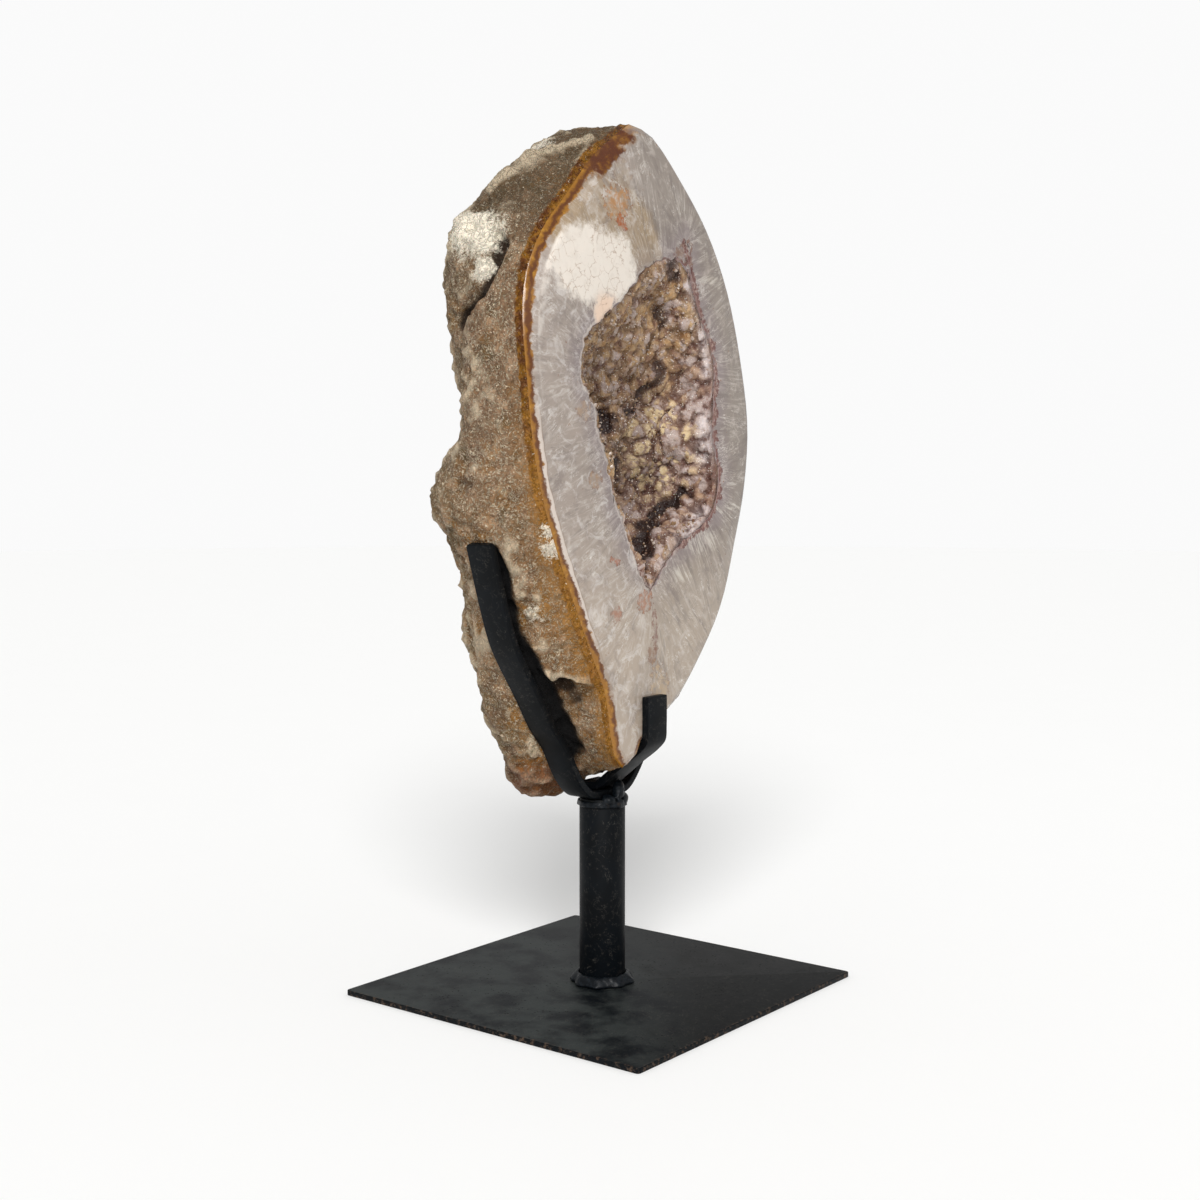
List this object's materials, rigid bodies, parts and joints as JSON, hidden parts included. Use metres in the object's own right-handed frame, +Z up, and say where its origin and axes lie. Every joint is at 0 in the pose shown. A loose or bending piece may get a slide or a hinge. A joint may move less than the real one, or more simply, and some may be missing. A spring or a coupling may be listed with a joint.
{
  "type": "polished agate geode half on a welded steel stand",
  "caption": "Tall half of an agate geode with a polished face, a crystal-lined hollow and a rough rind, cradled upright in a bent steel strap and prong on a post and square plate.",
  "frame": {"origin": "middle of the underside of the base plate, where it stands on the table", "axes": "+Z up along the post, +X to the right, -Y the way the polished face looks"},
  "size_m": [0.15, 0.15, 0.3515],
  "materials": {
    "agate": "polished agate face, rough brown rind",
    "crystal": "fine sparkling quartz crystals in round clusters",
    "black_steel": "blackened, semi-matt",
    "weld_metal": "blackened weld bead, satin"
  },
  "bodies": {
    "root": {"agate": "agate", "crystal_crust": "crystal", "base_plate": "black_steel", "post": "black_steel", "strap": "black_steel", "front_prong": "black_steel", "foot_weld": "weld_metal", "top_weld": "weld_metal"}
  },
  "joints": []
}
